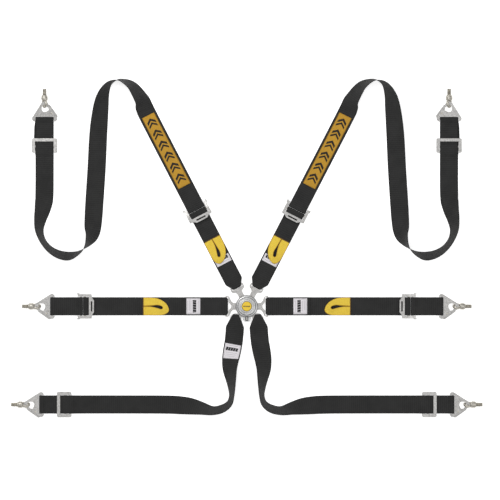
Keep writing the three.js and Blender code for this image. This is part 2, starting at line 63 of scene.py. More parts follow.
# ---------------------------------------------------------------- driving dimensions
# In millimetres and degrees, as in the CAD.
GAP = 0.3
WEB_HALF = 25
WEB_THICK = 1.6
FLAT_Z = 0.9
SECOND_Z = FLAT_Z + WEB_THICK + 0.25
WRAP = 4

TONGUE_Z = 5.8
LAP_ANGLE = 180
SHOULDER_ANGLE = 117.4
CROTCH_STRAP_ANGLE = 266
CROTCH_START = (-30, -21)

LAP_BAR = 56.3
LAP_SEWN_END = 175
LAP_LOOP = 285.5
LAP_ADJUSTER = 420
LAP_HOOK = 536.2

SHOULDER_BAR = 61
SHOULDER_SEWN_END = 130
SHOULDER_LOOP = 209.5
SHOULDER_ADJUSTER = 267
PATCH_START = 372
PATCH_LENGTH = 219
PATCH_WIDTH = 39
PATCH_THICK = 0.9
SHOULDER_FLAT_END = 600

SHOULDER_END_X = -556
SHOULDER_SLIDE = 422
SHOULDER_HOOK = 516.2
SHOULDER_FAN = 4.5  # how far the lower layer between slide and hook lies to the outside
CROTCH_END_Y = -270
CROTCH_SLIDE = 482
CROTCH_HOOK = 566.2

KNURL_AT = 25
KNURL_Z = 6
KNURL_R = 3.5
FIXED_AT = 35.6
FIXED_Z = 4.9
FIXED_WRAP = 2.6 + GAP + WEB_THICK / 2
FIXED_LEAN = 0.55  # the wrap round the fixed bar leans this far onto the wrap beside it

HOOK_Z = 4.9
HOOK_PITCH = 10.5
HOOK_PIVOT = 32.8
EYE_R = 9.6
WIRE_R = 3.5
EYE_Z = 12
EYE_TILT = 60
THREAD_R = 5.55
THREAD_PITCH = 1.27
SEAT = 22  # where the eye bolt's collar ends and its rod begins, from the eye's middle
ROD_END = 40

# Curved stretches of webbing: x, y and roll in degrees (0 flat, 90 on its edge, 180 turned over).
SHOULDER_CURVE = [
    (-283, 550, 18),
    (-290, 570, 38),
    (-314, 604, 57),
    (-342, 620, 78),
    (-360, 621, 90),
    (-380, 610, 106),
    (-394, 584, 127),
    (-401, 548, 146),
    (-408, 476, 166),
    (-413, 379, 178),
    (-419, 285, 174),
    (-422, 236, 164),
    (-425, 205, 148),
    (-433, 181, 118),
    (-446, 160, 92),
    (-466, 145, 76),
    (-490, 138, 62),
    (-517, 143, 64),
    (-542, 158, 70),
    (-561, 182, 72),
    (-570, 210, 64),
    (-568, 238, 50),
    (-562, 265, 32),
    (-557, 292, 10),
]
CROTCH_CURVE = [
    (-36, -98, 0),
    (-41, -125, 8),
    (-45, -150, 24),
    (-46, -172, 37),
    (-43.5, -197, 53),
    (-41.5, -222, 66),
    (-41.5, -246, 74),
    (-48, -267, 71),
    (-67, -281, 65),
    (-95, -286.5, 62),
    (-128, -280, 44),
    (-161, -274, 21),
    (-195, -271, 6),
]
BEYOND = 1000  # the distance given to stations on a curve, past every taper


# ---------------------------------------------------------------- materials
class Surface:
    """A material whose colour, roughness and bump come from nodes."""

    def __init__(self, name, **sockets):
        self.material = bpy.data.materials.new(name)
        self.material.use_nodes = True
        self.tree = self.material.node_tree
        self.shader = self.tree.nodes["Principled BSDF"]
        for socket, value in sockets.items():
            self.shader.inputs[socket.replace("_", " ")].default_value = value

    def feed(self, socket, value):
        """Links a node's output to a socket, or sets a plain value on it."""
        if isinstance(value, bpy.types.NodeSocket):
            self.tree.links.new(value, socket)
        else:
            socket.default_value = value

    def math(self, operation, *values):
        node = self.tree.nodes.new("ShaderNodeMath")
        node.operation = operation
        for socket, value in zip(node.inputs, values):
            self.feed(socket, value)
        return node.outputs[0]

    def mix(self, share, low, high):
        node = self.tree.nodes.new("ShaderNodeMix")
        node.data_type = "RGBA"
        self.feed(node.inputs["Factor"], share)
        self.feed(node.inputs["A"], low)
        self.feed(node.inputs["B"], high)
        return node.outputs["Result"]

    def ranged(self, value, low, high, to_low=0.0, to_high=1.0):
        node = self.tree.nodes.new("ShaderNodeMapRange")
        for socket, number in zip(node.inputs, (value, low, high, to_low, to_high)):
            self.feed(socket, number)
        return node.outputs[0]

    def place(self):
        """The point on the object, in metres."""
        return self.tree.nodes.new("ShaderNodeTexCoord").outputs["Object"]

    def noise(self, scale, detail=2):
        node = self.tree.nodes.new("ShaderNodeTexNoise")
        node.inputs["Scale"].default_value = scale
        node.inputs["Detail"].default_value = detail
        self.tree.links.new(self.place(), node.inputs["Vector"])
        return node.outputs[0]

    def split(self, vector):
        """The first two parts of a vector."""
        node = self.tree.nodes.new("ShaderNodeSeparateXYZ")
        self.tree.links.new(vector, node.inputs[0])
        return node.outputs[0], node.outputs[1]

    def across_and_along(self):
        """The two distances on a strip of cloth, in metres, from its UV map."""
        layer = self.tree.nodes.new("ShaderNodeUVMap")
        layer.uv_map = "cloth"
        return self.split(layer.outputs[0])

    def bump(self, height, depth):
        node = self.tree.nodes.new("ShaderNodeBump")
        node.inputs["Distance"].default_value = depth
        self.tree.links.new(height, node.inputs["Height"])
        self.tree.links.new(node.outputs[0], self.shader.inputs["Normal"])

    def colour(self, value):
        self.feed(self.shader.inputs["Base Color"], value)

    def roughness(self, value):
        self.feed(self.shader.inputs["Roughness"], value)


def wave(surface, value, pitch):
    """A wave between 0 and 1 with that pitch in metres."""
    turned = surface.math("MULTIPLY", value, 2 * math.pi / pitch)
    return surface.math("MULTIPLY_ADD", surface.math("SINE", turned), 0.5, 0.5)


def woven(name, dark, light, edge, pitch=0.0014, half=0.025, depth=0.0002, panels=0.0125, **sockets):
    """Narrow woven tape: cross ribs in herringbone panels, warp ends and an edge band in the `edge`
    colour, partly a real selvedge and partly painted shade along the edges.
    """
    s = Surface(name, Roughness=0.85, **sockets)
    across, along = s.across_and_along()
    zigzag = s.math("PINGPONG", across, panels / 2)
    slanted = s.math("MULTIPLY_ADD", zigzag, 0.5, along)
    rib = wave(s, slanted, pitch)
    warp = wave(s, across, pitch * 0.72)
    weave = s.math("MULTIPLY_ADD", rib, 0.7, s.math("MULTIPLY", warp, 0.3))
    fibre = s.noise(2600, 3)
    cloud = s.ranged(s.noise(28, 3), 0.35, 0.65)
    # The edge band is darkened towards `edge`: painted shade along the tape's edges, partly its real
    # selvedge.
    selvedge_and_edge_shade = s.ranged(s.math("ABSOLUTE", across), half - 0.0022, half - 0.0012)
    band = wave(s, s.math("MULTIPLY_ADD", fibre, 0.0006, along), 4 * pitch)
    tone = s.math("MULTIPLY", s.math("MULTIPLY_ADD", fibre, 0.5, weave), 0.5)
    tone = s.math("MULTIPLY_ADD", band, 0.22, tone)
    body = s.mix(tone, dark, light)
    body = s.mix(s.math("MULTIPLY", cloud, 0.3), body, light)
    s.colour(s.mix(s.math("MULTIPLY", selvedge_and_edge_shade, 0.75), body, edge))
    s.roughness(s.ranged(fibre, 0.3, 0.7, 0.72, 0.95))
    s.bump(s.math("MULTIPLY_ADD", fibre, 0.25, weave), depth)
    return s


def metal(name, low, high, roughness, **sockets):
    """Plated or cast metal: fine grain, mottled tone and a slightly uneven sheen."""
    s = Surface(name, **sockets)
    coarse = s.ranged(s.noise(260, 4), 0.32, 0.68)
    fine = s.noise(900, 3)
    tone = s.math("MULTIPLY_ADD", fine, 0.35, s.math("MULTIPLY", coarse, 0.65))
    s.colour(s.mix(tone, low, high))
    s.roughness(s.ranged(fine, 0.3, 0.7, roughness - 0.08, roughness + 0.1))
    s.bump(s.math("MULTIPLY_ADD", coarse, 0.5, fine), 0.00004)
    return s.material


def block(s, u, v, low, high):
    """1 inside a rectangle of the cloth map between two corners, in millimetres, else 0."""
    inside = 1.0
    for value, start, end in ((u, low[0], high[0]), (v, low[1], high[1])):
        middle = (start + end) / 2 * MM
        reach = (end - start) / 2 * MM
        within = s.math("COMPARE", value, middle, reach)
        inside = s.math("MULTIPLY", within, inside)
    return inside


BLACK = woven(
    "webbing", (0.005, 0.005, 0.005, 1), (0.043, 0.043, 0.0425, 1), (0.006, 0.006, 0.006, 1),
    Sheen_Weight=0.05, Sheen_Roughness=0.5, Specular_IOR_Level=0.2,
).material
# The yellow tape's brownish edge colour is painted shade along its edges and folds.
YELLOW = woven(
    "yellow_tape", (0.66, 0.42, 0.025, 1), (0.98, 0.73, 0.085, 1), (0.5, 0.26, 0.015, 1),
    pitch=0.0011, half=0.0125, panels=0.00625,
).material
THREAD = metal(
    "thread", (0.008, 0.008, 0.008, 1), (0.035, 0.035, 0.037, 1), 0.7, Metallic=0.0
)
BROWN_THREAD = metal(
    "brown_thread", (0.06, 0.03, 0.008, 1), (0.16, 0.08, 0.02, 1), 0.7, Metallic=0.0
)
ZINC = metal("zinc_plate", (0.31, 0.305, 0.297, 1), (0.63, 0.62, 0.605, 1), 0.36, Metallic=0.9)
CAST = metal("cast_alloy", (0.42, 0.422, 0.42, 1), (0.78, 0.78, 0.775, 1), 0.36, Metallic=0.9)
STEEL = metal("steel", (0.32, 0.305, 0.27, 1), (0.68, 0.65, 0.58, 1), 0.4, Metallic=0.95)
# Painted shade: a near-black material laid in gaps and recesses.
RECESS_SHADE = metal("painted_recess_shade", (0.02, 0.02, 0.02, 1), (0.07, 0.068, 0.066, 1), 0.5, Metallic=0.3)


def gold_patch():
    """Gold woven badge with plain dark double chevrons down its length."""
    s = woven(
        "gold_patch", (0.33, 0.17, 0.012, 1), (0.66, 0.36, 0.03, 1), (0.06, 0.036, 0.01, 1),
        pitch=0.0009, half=PATCH_WIDTH / 2 * MM, depth=0.00012, panels=0.004,
    )
    margin = 0.014
    pitch = 0.034
    half_length = 3 * pitch
    across, along = s.across_and_along()
    side = s.math("ABSOLUTE", across)
    slope = s.math("SUBTRACT", s.math("MULTIPLY_ADD", side, 0.8, along), margin)
    repeat = s.math("MODULO", slope, pitch)
    thin_stroke = s.math("COMPARE", repeat, 0.0105, 0.003)
    thick_stroke = s.math("COMPARE", repeat, 0.0215, 0.0038)
    strokes = s.math("ADD", thin_stroke, thick_stroke)
    narrow = s.math("LESS_THAN", side, 0.0125)
    inside = s.math("COMPARE", slope, half_length, half_length - 0.0005)
    mark = s.math("MULTIPLY", strokes, s.math("MULTIPLY", narrow, inside))
    cloth = s.shader.inputs["Base Color"].links[0].from_socket
    s.colour(s.mix(mark, cloth, (0.02, 0.013, 0.007, 1)))
    return s.material


def yellow_cap():
    """Glossy yellow plastic with a plain broken bar printed across it."""
    half_length = 0.0098
    half_width = 0.0016
    s = Surface("yellow_cap", Coat_Weight=0.3)
    x, y = s.split(s.place())
    reach = s.math("COMPARE", x, 0, half_length)
    bar = s.math("MULTIPLY", s.math("COMPARE", y, 0, half_width), reach)
    slanted = s.math("MULTIPLY_ADD", y, 0.5, x)
    broken = s.math("GREATER_THAN", wave(s, slanted, 0.0033), 0.2)
    shade = s.mix(s.noise(300, 3), (0.8, 0.52, 0.012, 1), (0.9, 0.64, 0.03, 1))
    s.colour(s.mix(s.math("MULTIPLY", bar, broken), shade, (0.02, 0.015, 0.008, 1)))
    s.roughness(s.ranged(s.noise(700, 2), 0.3, 0.7, 0.25, 0.4))
    return s.material


def white_label(name, bar_low, bar_high, lines):
    """Off-white woven label with a dark broken bar and thin grey lines, none of them writing.

    Each line is given by its two ends across the label and its distance along it.
    """
    line_width = 1.2
    s = Surface(name, Roughness=0.7)
    across, along = s.across_and_along()
    weave = s.math("MULTIPLY", wave(s, across, 0.0007), wave(s, along, 0.0007))
    tone = s.mix(weave, (0.74, 0.71, 0.74, 1), (0.92, 0.89, 0.92, 1))
    for start, end, at in lines:
        line = block(s, across, along, (start, at), (end, at + line_width))
        tone = s.mix(s.math("MULTIPLY", line, 0.5), tone, (0.2, 0.2, 0.22, 1))
    bar = block(s, across, along, bar_low, bar_high)
    slanted = s.math("MULTIPLY_ADD", along, 0.2, across)
    broken = s.math("GREATER_THAN", wave(s, slanted, 0.0068), 0.025)
    tone = s.mix(s.math("MULTIPLY", bar, broken), tone, (0.012, 0.012, 0.014, 1))
    s.colour(tone)
    s.bump(weave, 0.0001)
    return s.material


# ---------------------------------------------------------------- pieces from meshes
def piece(name, mesh, material, body, side="left", place=None, replaces=(), bend=None):
    """Turns a bmesh in millimetres into a piece that rides on a body.

    A piece given `bend` rides on no body: its place is baked into it, and the body and points in
    `bend` are not used.
    """
    if place is not None:
        mesh.transform(place)
    if side == "right":
        mesh.transform(Matrix.Scale(-1, 4, (1, 0, 0)))
        bmesh.ops.reverse_faces(mesh, faces=mesh.faces)
    mesh.transform(Matrix.Scale(MM, 4))
    data = bpy.data.meshes.new(name)
    mesh.to_mesh(data)
    mesh.free()
    data.materials.append(material)
    made = bpy.data.objects.new(name, data)
    bpy.context.scene.collection.objects.link(made)
    if bend:
        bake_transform(made)
    else:
        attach(made, body)
    if replaces:
        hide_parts(*replaces)
    return made


def smooth(mesh, limit=35):
    """Shades faces smooth and keeps edges sharper than the limit."""
    for face in mesh.faces:
        face.smooth = True
    for edge in mesh.edges:
        if len(edge.link_faces) == 2:
            edge.smooth = edge.calc_face_angle(0) < math.radians(limit)


def frame_at(x, y, angle):
    return Matrix.Translation((x, y, 0)) @ Matrix.Rotation(math.radians(angle), 4, "Z")


LAP_FRAME = frame_at(0, 0, LAP_ANGLE)
SHOULDER_FRAME = frame_at(0, 0, SHOULDER_ANGLE)
SHOULDER_END_FRAME = frame_at(SHOULDER_END_X, 0, 90)
CROTCH_END_FRAME = frame_at(0, CROTCH_END_Y, 180)


# ---------------------------------------------------------------- webbing
# A station is (middle, across, distance): the webbing's middle line, the direction of its width,
# and how far along its strap it is, which sets the width.
def straight(points, place):
    """Stations from (distance, height) points, which may add a shift to one side."""
    across = place.to_3x3() @ Vector((0, 1, 0))
    return [(place @ Vector((d, sum(shift), z)), across, d) for d, z, *shift in points]


def arc(at, height, radius, start, end):
    """Points round a bar, between two angles in degrees."""
    steps = 12
    angles = [math.radians(start + (end - start) * k / steps) for k in range(steps + 1)]
    return [(at + radius * math.cos(a), height + radius * math.sin(a)) for a in angles]


def curve_through(points, steps):
    """A smooth curve through points, with that many steps between neighbours."""
    knots = [Vector(p) for p in points]
    knots = [2 * knots[0] - knots[1], *knots, 2 * knots[-1] - knots[-2]]
    line = []
    for k in range(len(points) - 1):
        a, b, c, d = knots[k : k + 4]
        for step in range(steps + (k == len(points) - 2)):
            t = step / steps
            bend = (2 * a - 5 * b + 4 * c - d) * t + (3 * b - a - 3 * c + d) * t * t
            line.append(b + 0.5 * t * ((c - a) + bend))
    return line


def rolling(points):
    """Stations on a smooth curve through (x, y, roll) points, the lower edge on the floor."""
    samples = curve_through(points, 8)
    places = []
    for x, y, roll in samples:
        lean = math.radians(roll)
        height = (WEB_HALF + GAP) * math.sin(lean) + FLAT_Z * abs(math.cos(lean))
        places.append(Vector((x, y, height)))
    stations = []
    for k, (at, sample) in enumerate(zip(places, samples)):
        lean = math.radians(sample.z)
        along = (places[min(k + 1, len(places) - 1)] - places[max(k - 1, 0)]).normalized()
        level = UP.cross(along).normalized()
        across = level * math.cos(lean) + along.cross(level) * math.sin(lean)
        stations.append((at, across, BEYOND))
    return stations


def between(a, b, share):
    return tuple(p + (q - p) * share for p, q in zip(a, b))


def soften(stations):
    """Rounds the corners of a run and splits its long stretches."""
    longest = 5
    for _ in range(2):
        cut = [stations[0]]
        for a, b in zip(stations, stations[1:]):
            cut += [between(a, b, 0.25), between(a, b, 0.75)]
        stations = cut + [stations[-1]]
    fine = [stations[0]]
    for a, b in zip(stations, stations[1:]):
        count = max(1, math.ceil((b[0] - a[0]).length / longest))
        fine += [between(a, b, (k + 1) / count) for k in range(count)]
    return fine


# Half a cross-section of webbing, from its middle to its edge: shares of half the width and of
# half the thickness. The selvedge is a round cord beside a shallow valley.
SECTION = [(0, 1), (0.5, 0.97), (0.88, 0.93), (0.92, 0.8), (0.945, 1), (0.975, 0.95), (0.992, 0.6)]


def outline_of(half, thick):
    """The whole cross-section, as points across and above the middle line."""
    quarter = [(u * half, w * thick / 2) for u, w in SECTION]
    top = [(-u, w) for u, w in reversed(quarter)] + quarter[1:]
    return [(-half, 0), *top, (half, 0), *[(u, -w) for u, w in reversed(top)]]


class Ribbon:
    """Webbing along stations. It remembers its line, so that labels can follow it."""

    def __init__(self, stations, half=lambda distance: WEB_HALF):
        self.stations = soften(stations)
        self.half = half
        last = len(self.stations) - 1
        self.frames = []
        length = 0
        for k, (at, across, distance) in enumerate(self.stations):
            before = self.stations[max(k - 1, 0)][0]
            after = self.stations[min(k + 1, last)][0]
            along = (after - before).normalized()
            lift = along.cross(across).normalized()
            self.frames.append((at, across.normalized(), lift, length, half(distance)))
            length += (after - at).length if k < last else 0
        self.length = length

    def mesh(self):
        """The webbing's solid, with a cloth map of its distances across and along."""
        mesh = bmesh.new()
        layer = mesh.loops.layers.uv.new("cloth")
        rings = []
        for at, across, lift, _, half in self.frames:
            section = outline_of(half, WEB_THICK)
            rings.append([mesh.verts.new(at + across * u + lift * w) for u, w in section])
        count = len(rings[0])
        shares = [u for u, _ in outline_of(WEB_HALF, WEB_THICK)]
        for k in range(len(rings) - 1):
            start = self.frames[k][3]
            end = self.frames[k + 1][3]
            for i in range(count):
                j = (i + 1) % count
                corners = (rings[k][j], rings[k][i], rings[k + 1][i], rings[k + 1][j])
                face = mesh.faces.new(corners)
                face.smooth = True
                places = ((shares[j], start), (shares[i], start), (shares[i], end), (shares[j], end))
                for loop, (u, v) in zip(face.loops, places):
                    loop[layer].uv = (u * MM, v * MM)
        for ring in (rings[0], rings[-1][::-1]):
            mesh.faces.new(ring)
        mesh.normal_update()
        return mesh

    def near(self, point):
        """The distance along the ribbon of its station nearest to a point on the plan."""
        return min(self.frames, key=lambda f: (f[0].xy - Vector(point)).length)[3]

    def at(self, distance, across, lift):
        """A point beside the ribbon's middle line."""
        frames = self.frames
        k = next((i for i, f in enumerate(frames[1:], 1) if f[3] >= distance), len(frames) - 1)
        a, b = frames[k - 1], frames[k]
        share = (distance - a[3]) / max(b[3] - a[3], 1e-6)
        middle = a[0].lerp(b[0], share)
        return middle + a[1].lerp(b[1], share) * across + a[2].lerp(b[2], share) * lift


def slide_to_hook(slide, hook, fan=0):
    """Over the slide, round the hook's bar and back on the floor, where it may fan out sideways."""
    return [
        (slide - 22, FLAT_Z),
        (slide - 15.5, SECOND_Z),
        (slide - 9, SECOND_Z + 0.3),
        (slide - 2, 8.1),
        (slide + 21, 8.1),
        (slide + 29, SECOND_Z),
        (hook - 13, SECOND_Z),
        (hook - 6, 7.6),
        *arc(hook, HOOK_Z, WRAP, 90, -90),
        (hook - 8, FLAT_Z, 0.2 * fan),
        (hook - 22, FLAT_Z, 0.85 * fan),
        (slide + 8, FLAT_Z, fan),
        (slide - 4, FLAT_Z),
        (slide - 13, FLAT_Z),
    ]


def inner_run(bar, sewn_end, adjuster, loop):
    return [
        (sewn_end, SECOND_Z),
        (bar + 16, SECOND_Z),
        (bar + 7, 8.2),
        *arc(bar, TONGUE_Z, WRAP, 90, 270),
        (bar + 10, FLAT_Z),
        (adjuster + 12, FLAT_Z),
        *arc(adjuster + KNURL_AT, KNURL_Z, KNURL_R + GAP + WEB_THICK / 2, -90, 90),
        (adjuster + 16, 9),
        (adjuster + 4, 4.4),
        (adjuster - 6, SECOND_Z),
        (loop + GAP, SECOND_Z),
    ]


def lap_outer_run():
    fixed = LAP_ADJUSTER + FIXED_AT
    middle = (fixed + LAP_HOOK) / 2
    return [
        (middle + GAP, FLAT_Z),
        (LAP_HOOK - 8, FLAT_Z),
        *arc(LAP_HOOK, HOOK_Z, WRAP, -90, 90),
        (LAP_HOOK - 7, 7.4),
        (LAP_HOOK - 17, SECOND_Z),
        (fixed + 13, SECOND_Z),
        (fixed + 6, 7),
        *arc(fixed - FIXED_LEAN, FIXED_Z, FIXED_WRAP, 90, 270),
        (fixed + 8, FLAT_Z),
        (middle - GAP, FLAT_Z),
    ]


def shoulder_upper_run():
    fixed = SHOULDER_ADJUSTER + FIXED_AT
    lower = [
        (fixed + 46, FLAT_Z),
        (fixed + 8, FLAT_Z),
        *arc(fixed - FIXED_LEAN, FIXED_Z, FIXED_WRAP, 270, 90),
        (fixed + 6, 7),
        (fixed + 13, SECOND_Z),
        (fixed + 48, SECOND_Z),
        (fixed + 56, FLAT_Z),
        (SHOULDER_FLAT_END, FLAT_Z),
    ]
    end = [(320, FLAT_Z), *slide_to_hook(SHOULDER_SLIDE, SHOULDER_HOOK, SHOULDER_FAN)]
    return [
        *straight(lower, SHOULDER_FRAME),
        *rolling(SHOULDER_CURVE),
        *straight(end, SHOULDER_END_FRAME),
    ]


def crotch_run():
    start = [
        (44, FLAT_Z + 0.2),
        (10, 2),
        *arc(5, TONGUE_Z, WRAP, -90, -270),
        (14, 9.4),
        (24, 7),
        (36, 3.4),
        (46, SECOND_Z),
        (54, FLAT_Z),
    ]
    end = [(230, FLAT_Z), *slide_to_hook(CROTCH_SLIDE, CROTCH_HOOK)]
    return [
        *straight(start, frame_at(*CROTCH_START, CROTCH_STRAP_ANGLE)),
        *rolling(CROTCH_CURVE),
        *straight(end, CROTCH_END_FRAME),
    ]


def lap_half(distance):
    """Half the width of a lap strap, with rounded corners at its tongue."""
    corner = 8
    past = min(max((LAP_BAR + 4 - distance) / (corner + 0.8), 0), 1)
    return WEB_HALF - corner * (1 - math.sqrt(1 - past * past))


def shoulder_half(distance):
    """Half the width of a shoulder strap, gathered to fit the narrow bar of its tongue."""
    return min(11.5 + 0.65 * max(distance - SHOULDER_BAR + WRAP, 0), WEB_HALF)


def crotch_half(distance):
    """Half the width of a crotch strap, which widens in two stages from its tongue."""
    start_half, middle_half = 6.8, 16.5
    middle, end = 17, 36
    if distance < middle:
        return start_half + (middle_half - start_half) * max(distance, 0) / middle
    widened = middle_half + (WEB_HALF - middle_half) * (distance - middle) / (end - middle)
    return min(widened, WEB_HALF)


def webbing(name, run, body, side, half=lambda distance: WEB_HALF):
    """One run of webbing in place of its CAD solid."""
    ribbon = Ribbon(run, half)
    made = piece(
        f"{name}_cloth_{side}", ribbon.mesh(), BLACK, body, side,
        replaces=[f"{name}_{side}"],
    )
    return ribbon


# ---------------------------------------------------------------- cloth sewn on the webbing
def strip(ribbon, start, end, low, high, lift, thick, steps=12):
    """A thin rectangle of cloth laid on a ribbon, with its own cloth map from its corner."""
    mesh = bmesh.new()
    layer = mesh.loops.layers.uv.new("cloth")
    columns = 6
    grids = []
    for w in (lift, lift + thick):
        rows = []
        for k in range(steps + 1):
            s = start + (end - start) * k / steps
            row = []
            for i in range(columns + 1):
                u = low + (high - low) * i / columns
                border = k in (0, steps) or i in (0, columns)
                drop = 0.35 * thick if border and w > lift else 0
                row.append(mesh.verts.new(ribbon.at(s, u, w - drop)))
            rows.append(row)
        grids.append(rows)
    bottom, top = grids
    for k in range(steps):
        for i in range(columns):
            for grid, order in ((top, (0, 1, 2, 3)), (bottom, (3, 2, 1, 0))):
                corners = [(k, i), (k + 1, i), (k + 1, i + 1), (k, i + 1)]
                corners = [corners[n] for n in order]
                face = mesh.faces.new([grid[a][b] for a, b in corners])
                face.smooth = True
                for loop, (a, b) in zip(face.loops, corners):
                    u = (low + (high - low) * b / columns) - (low + high) / 2
                    loop[layer].uv = (u * MM, (end - start) * a / steps * MM)
    rim = [(k, 0) for k in range(steps)] + [(steps, i) for i in range(columns)]
    rim += [(k, columns) for k in range(steps, 0, -1)] + [(0, i) for i in range(columns, 0, -1)]
    for (a, b), (c, d) in zip(rim, rim[1:] + rim[:1]):
        mesh.faces.new((bottom[a][b], bottom[c][d], top[c][d], top[a][b]))
    bmesh.ops.recalc_face_normals(mesh, faces=mesh.faces)
    return mesh


def add_stitch(mesh, start, end, up):
    """One stitch of thread: a slim diamond between two points, bulging along `up`."""
    width, height = 0.5, 0.3
    middle = (start + end) / 2
    side = (end - start).cross(up).normalized() * width / 2
    crown = mesh.verts.new(middle + up * height)
    tips = [mesh.verts.new(p) for p in (start, middle + side, end, middle - side)]
    for a, b in zip(tips, tips[1:] + tips[:1]):
        mesh.faces.new((a, b, crown))
    mesh.faces.new(tips[::-1])


def sew(mesh, ribbon, points, lift):
    """Stitches along a line of (distance, across) points on a ribbon."""
    pitch = 3.2
    share = 0.72
    for (s0, u0), (s1, u1) in zip(points, points[1:]):
        count = max(1, round(math.hypot(s1 - s0, u1 - u0) / pitch))
        for k in range(count):
            a, b = k / count, (k + share) / count
            start = ribbon.at(s0 + (s1 - s0) * a, u0 + (u1 - u0) * a, lift)
            end = ribbon.at(s0 + (s1 - s0) * b, u0 + (u1 - u0) * b, lift)
            up = (ribbon.at(s0, u0, lift + 1) - ribbon.at(s0, u0, lift)).normalized()
            add_stitch(mesh, start, end, up)


def box_pattern(start, end):
    """The usual harness seam: lengthwise rows joined by zigzags at both ends."""
    reach = 19
    depth = 9
    teeth = 6
    rows = [[(start, u), (end, u)] for u in (-reach, -reach / 3, reach / 3, reach)]
    for s, t in ((start, start + depth), (end - depth, end)):
        rows.append([(s if k % 2 else t, -reach + 2 * reach * k / teeth) for k in range(teeth + 1)])
    return rows


# ---------------------------------------------------------------- pull loops
TAPE_WIDTH = 25
TAPE_THICK = 1.1
# The outer and inner edges of the folded tape on the plan, from one leg at the seam round the
# tip to the other leg, with the heights of both edges.
LOOP_OUTER = [
    (0, 24.4, 2.8), (-22, 24.6, 2.8), (-40, 24.6, 2.9), (-55, 23.6, 3.2), (-66, 19, 3.6),
    (-71.4, 11, 3.8), (-67.5, -2.4, 3.6), (-56, -14, 3.2), (-40, -21.6, 2.9), (-22, -24.2, 2.8),
    (0, -24.4, 2.8),
]
LOOP_INNER = [
    (0, 0.3, 3.2), (-18, 0.3, 3.8), (-30, 2.2, 5.2), (-42, 5.4, 7.4), (-49.5, 7.6, 8.8),
    (-53.4, 6, 9.4), (-54, 2.8, 9), (-50.5, -0.8, 8), (-40, -3.2, 6.4), (-26, -2, 4.8),
    (0, -0.3, 3.2),
]


def loop_mesh():
    """The folded tape, crowned at its tip, and its length."""
    steps = 6
    outer = curve_through(LOOP_OUTER, steps)
    inner = curve_through(LOOP_INNER, steps)
    section = outline_of(1, TAPE_THICK)
    mesh = bmesh.new()
    layer = mesh.loops.layers.uv.new("cloth")
    rings = []
    lengths = [0]
    for k, (far, near) in enumerate(zip(outer, inner)):
        step = (outer[min(k + 1, len(outer) - 1)] - outer[max(k - 1, 0)]).normalized()
        across = (near - far) / 2
        lift = across.cross(step).normalized()
        lift = lift if lift.z > 0 else -lift
        middle = (near + far) / 2
        crown = 0.9 * math.sin(math.pi * k / (len(outer) - 1))
        ring = []
        for u, w in section:
            ring.append(mesh.verts.new(middle + across * u + lift * (w + crown * (1 - u * u))))
        rings.append(ring)
        if k:
            lengths.append(lengths[-1] + (middle - last).length)
        last = middle
    count = len(section)
    for k in range(len(rings) - 1):
        for i in range(count):
            j = (i + 1) % count
            face = mesh.faces.new((rings[k][j], rings[k][i], rings[k + 1][i], rings[k + 1][j]))
            face.smooth = True
            places = ((j, k), (i, k), (i, k + 1), (j, k + 1))
            for loop, (a, b) in zip(face.loops, places):
                loop[layer].uv = (section[a][0] * TAPE_WIDTH / 2 * MM, lengths[b] * MM)
    for ring in (rings[0], rings[-1][::-1]):
        mesh.faces.new(ring)
    bmesh.ops.recalc_face_normals(mesh, faces=mesh.faces)
    return mesh, lengths[-1]


def pull_loop(name, seam, place, parent, side):
    """A loop that bends up from its seam, and the brown seam itself."""
    mesh, length = loop_mesh()
    at = place @ Matrix.Translation((seam, 0, 0))
    made = piece(
        f"{name}_cloth_{side}", mesh, YELLOW, f"{name}_{side}", side, place=at,
        replaces=[f"{name}_{side}"],
        bend=[parent, at @ Vector((-1, 0, 4)), at @ Vector((-15, 0, 4))],
    )
    start, end = seam - 1.6, seam + 0.8
    flat = Ribbon(straight([(start, SECOND_Z), (end, SECOND_Z)], place))
    reach = LOOP_OUTER[0][1]
    bar = strip(flat, 0, end - start, -reach, reach, WEB_THICK / 2 + GAP, 0.6)
    piece(f"{name}_seam_{side}", bar, BROWN_THREAD, parent, side)


# ---------------------------------------------------------------- metal pieces
SMOOTH = 50  # degrees between faces that still count as one smooth surface


def skin(mesh, rings, limit):
    """Joins rings of points with faces; a ring of one point closes to a fan."""
    for low, high in zip(rings, rings[1:]):
        count = max(len(low), len(high))
        for k in range(count):
            j = (k + 1) % count
            corners = [low[k % len(low)], low[j % len(low)], high[j % len(high)], high[k % len(high)]]
            corners = list(dict.fromkeys(corners))
            if len(corners) > 2:
                mesh.faces.new(corners)
    bmesh.ops.recalc_face_normals(mesh, faces=mesh.faces)
    smooth(mesh, limit)
    return mesh


def wire_ring(mesh, radius, wire, sides, turn, height=0):
    """The points round a bent wire, where it has turned that far about Z."""
    ring = []
    for i in range(sides):
        b = 2 * math.pi * i / sides
        reach = radius + wire * math.cos(b)
        at = (reach * math.cos(turn), reach * math.sin(turn), height + wire * math.sin(b))
        ring.append(mesh.verts.new(at))
    return ring


def lathe(profile, sides=64):
    """A solid of revolution about Z through (radius, height) points."""
    mesh = bmesh.new()
    rings = []
    for radius, height in profile:
        if radius < 1e-6:
            rings.append([mesh.verts.new((0, 0, height))])
            continue
        angles = [2 * math.pi * k / sides for k in range(sides)]
        points = [(radius * math.cos(a), radius * math.sin(a), height) for a in angles]
        rings.append([mesh.verts.new(point) for point in points])
    return skin(mesh, rings, 28)


